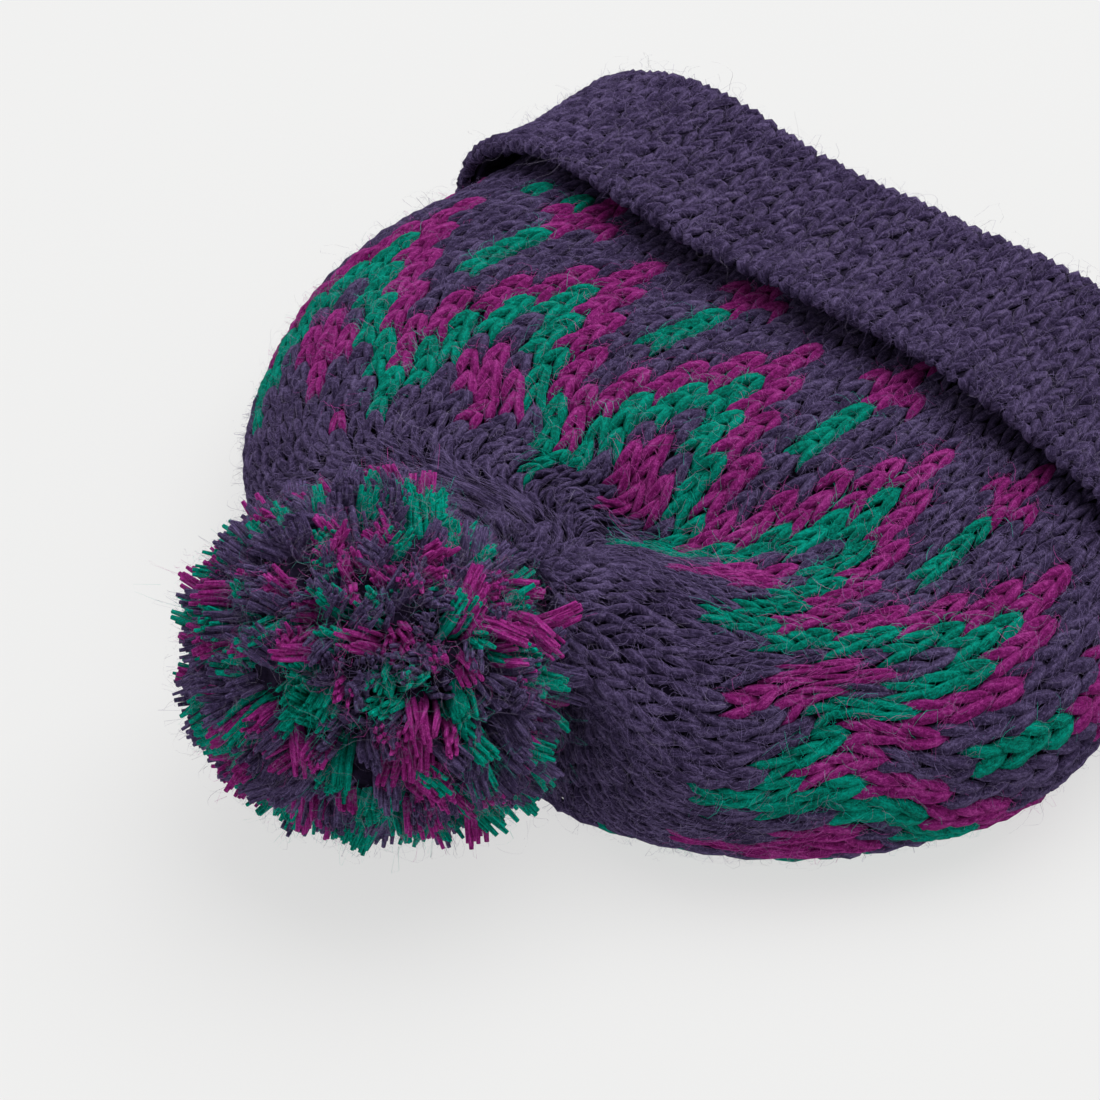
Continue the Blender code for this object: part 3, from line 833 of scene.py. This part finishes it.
def floor_material():
    """A pale, dull floor with some glow of its own."""
    tree = Tree("pale_floor")
    tree.look({
        "Base Color": (*FLOOR_TONE, 1.0),
        "Roughness": 0.9,
        "Specular IOR Level": 0.0,
        "Emission Color": (*FLOOR_GLOW_TONE, 1.0),
        "Emission Strength": FLOOR_GLOW,
    })
    return tree.material


def lighter(tone, share, grey=0.0):
    return tuple(share * part + grey for part in tone)


def pompom_material(name, tones):
    # Painted light: the same wool as the hat's, made lighter
    tones = [lighter(tone, POMPOM_PAINTED_LIGHT) for tone in tones]
    return yarn_material(f"{name}_pompom_painted_light_wool", tones, POMPOM_BUMP, POMPOM_STREAKS)


def hair_material(name, tones):
    light = tones[-1]
    middle = lighter(light, HAIR_MIDDLE_LIGHTER)
    return yarn_material(f"{name}_hair", (light, middle, lighter(light, HAIR_LIGHTER, HAIR_GREY)))


wool = {name: yarn_material(f"{name}_wool", tones) for name, tones in TONES.items()}
pompom_painted_light_wool = {name: pompom_material(name, tones) for name, tones in TONES.items()}
hair = {name: hair_material(name, tones) for name, tones in TONES.items()}
stray = yarn_material("stray_hair", STRAY_TONES)
backing = fabric_material("knit_backing_painted_shade", PAINTED_SHADE_TONES)
tie_wool = fabric_material("knit_inside", TIE_TONES)


# The hat's pieces
def settle(piece):
    """Attaches a piece to the root body."""
    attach(piece, "root")


def add_crown(sheet, rings):
    """The crown's stitches by colour, those on top apart from those under it, and its backing in painted
    shade.
    """
    stitches = crown_stitches(sheet)
    upper = sheet.normal(stitches[:, 0], stitches[:, 1])[:, 2] > 0
    purple, magenta, green = (stitches[:, 3] == kind for kind in range(len(TONES)))
    groups = (
        ("crown_purple_stitches_top", purple & upper, LEG_SIDES, "purple"),
        ("crown_purple_stitches_under", purple & ~upper, PLAIN_SIDES, "purple"),
        ("crown_magenta_stitches", magenta, LEG_SIDES, "magenta"),
        ("crown_green_stitches", green, LEG_SIDES, "green"),
    )
    pieces = [add_piece(name, *legs(sheet, *stitches[chosen, :3].T, sides), wool[colour])
              for name, chosen, sides, colour in groups]
    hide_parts("crown")
    pieces.append(shell("crown_wall", rings[:-1:2, ::2], *CROWN_BACKING, True, 1, backing))
    for piece in pieces:
        settle(piece)


def add_cuff(sheet):
    """The cuff's stitches and its backing in painted shade."""
    columns, rows = np.meshgrid(np.arange(COLUMNS) + 0.5, np.arange(CUFF_ROWS - 1.0))
    mesh = legs(sheet, columns.ravel(), rows.ravel(), np.ones(rows.size), PLAIN_SIDES)
    stitches = add_piece("cuff_stitches", *mesh, wool["purple"])
    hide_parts("cuff")
    settle(stitches)
    settle(shell("cuff_wall", sheet.points[::2, ::2], *CUFF_BACKING, False, -1, backing))


def add_strands(name, strands):
    """The pompom's cut strands of one colour, thinner at both ends."""
    count, stations = strands.shape[:2]
    normals = unit(np.cross(strands[:, -1] - strands[:, 0], draw.normal(0, 1, (count, 3))))
    normals = np.repeat(normals[:, None], stations, axis=1)
    thickness = STRAND_HALF_WIDTH * draw.uniform(*STRAND_WIDTH_SHARES, (count, 1)) * STRAND_PROFILE
    mesh = tubes(strands, normals, thickness, thickness, STRAND_SIDES, draw.uniform(0, 1, count))
    return add_piece(f"pompom_{name}_strands", *mesh, pompom_painted_light_wool[name])


def add_pompom_heart():
    """The pompom's solid, made smaller and dark, behind its strands: painted shade deep inside the pompom."""
    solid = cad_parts["pompom"].data
    points = POMPOM_MIDDLE + (np.array([v.co for v in solid.vertices]) - POMPOM_MIDDLE) * HEART_SHARE
    faces = [tuple(p.vertices) for p in solid.polygons]
    return add_piece("pompom_heart_painted_shade", points, faces, np.zeros((len(solid.loops), 2)), backing)


def add_pompom(coloured):
    """The pompom's strands, its heart in painted shade and the short hairs on the strands."""
    pieces = [add_strands(name, strands) for name, strands in zip(TONES, coloured)]
    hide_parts("pompom")
    pieces.append(add_pompom_heart())
    pieces += [add_piece(f"pompom_{name}_fuzz", *pompom_fuzz(strands), hair[name])
               for name, strands in zip(TONES, coloured)]
    for piece in pieces:
        settle(piece)


def add_crown_hair(sheet):
    """Short hairs all over the crown, each of its stitch's colour."""
    columns, rows = spread(sheet, *CROWN_HAIRS)
    kinds = np.array([chart(math.floor(column), math.floor(row + STITCH_SHOWS))
                      for column, row in zip(columns, rows)])
    for kind, name in enumerate(TONES):
        mesh = fuzz(sheet, columns[kinds == kind], rows[kinds == kind])
        settle(add_piece(f"crown_{name}_hair", *mesh, hair[name]))


def add_cuff_hair(sheet):
    """Short hairs on the cuff's hem, face and fold."""
    mesh = fuzz(sheet, *spread(sheet, *CUFF_HAIRS))
    settle(add_piece("cuff_hair", *mesh, hair["purple"]))


def add_strays(crown, cuff, tips):
    """Long stray hairs on the crown, the cuff and the pompom."""
    crown_mesh = sheet_strays(crown, *CROWN_STRAYS)
    settle(add_piece("crown_stray_hairs", *crown_mesh, stray))
    cuff_mesh = sheet_strays(cuff, *CUFF_STRAYS)
    settle(add_piece("cuff_stray_hairs", *cuff_mesh, stray))
    settle(add_piece("pompom_stray_hairs", *pompom_strays(tips), stray))


def dress_tie():
    """The tie's solid stays, in plain wool."""
    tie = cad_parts["pompom_tie"]
    tie.data.materials.clear()
    tie.data.materials.append(tie_wool)


# Floor, light and camera
def add_floor():
    h = FLOOR_HALF_SIZE
    mesh = bpy.data.meshes.new("floor")
    mesh.from_pydata([(-h, -h, 0), (h, -h, 0), (h, h, 0), (-h, h, 0)], [], [(0, 1, 2, 3)])
    mesh.materials.append(floor_material())
    floor = bpy.data.objects.new("floor", mesh)
    bpy.context.scene.collection.objects.link(floor)


def add_overhead_light():
    light = bpy.data.lights.new("overhead", "AREA")
    light.size = OVERHEAD_SIZE
    light.energy = OVERHEAD_POWER
    obj = bpy.data.objects.new("overhead", light)
    obj.location = OVERHEAD_PLACE
    obj.rotation_euler = (-Vector(OVERHEAD_PLACE)).to_track_quat("-Z", "Y").to_euler()
    bpy.context.scene.collection.objects.link(obj)


def add_world():
    world = bpy.data.worlds.new("soft_light")
    world.use_nodes = True
    background = world.node_tree.nodes["Background"]
    background.inputs["Color"].default_value = (1.0, 1.0, 1.0, 1.0)
    background.inputs["Strength"].default_value = WORLD_GLOW
    bpy.context.scene.world = world


def add_camera():
    data = bpy.data.cameras.new("camera")
    data.lens = CAMERA_LENS
    data.sensor_width = CAMERA_SENSOR
    camera = bpy.data.objects.new("camera", data)
    flat, rise = math.cos(CAMERA_HEIGHT_ANGLE), math.sin(CAMERA_HEIGHT_ANGLE)
    way = Vector((flat * math.sin(CAMERA_AZIMUTH), -flat * math.cos(CAMERA_AZIMUTH), rise))
    camera.location = CAMERA_TARGET + way * CAMERA_DISTANCE
    camera.rotation_euler = (-way).to_track_quat("-Z", "Y").to_euler()
    bpy.context.scene.collection.objects.link(camera)
    bpy.context.scene.camera = camera


outline, outline_way = crown_outline()
crown_knit = crown_sheet(outline, outline_way)
cuff_knit = cuff_sheet()
add_crown(crown_knit, smoothed(outline, WALL_SMOOTHING))
add_cuff(cuff_knit)
strands_by_colour, all_strands = pompom_strands()
add_pompom(strands_by_colour)
add_crown_hair(crown_knit)
add_cuff_hair(cuff_knit)
add_strays(crown_knit, cuff_knit, all_strands[:, -1])
dress_tie()

add_floor()
add_overhead_light()
add_camera()
add_world()
bpy.context.scene.view_settings.view_transform = "Standard"
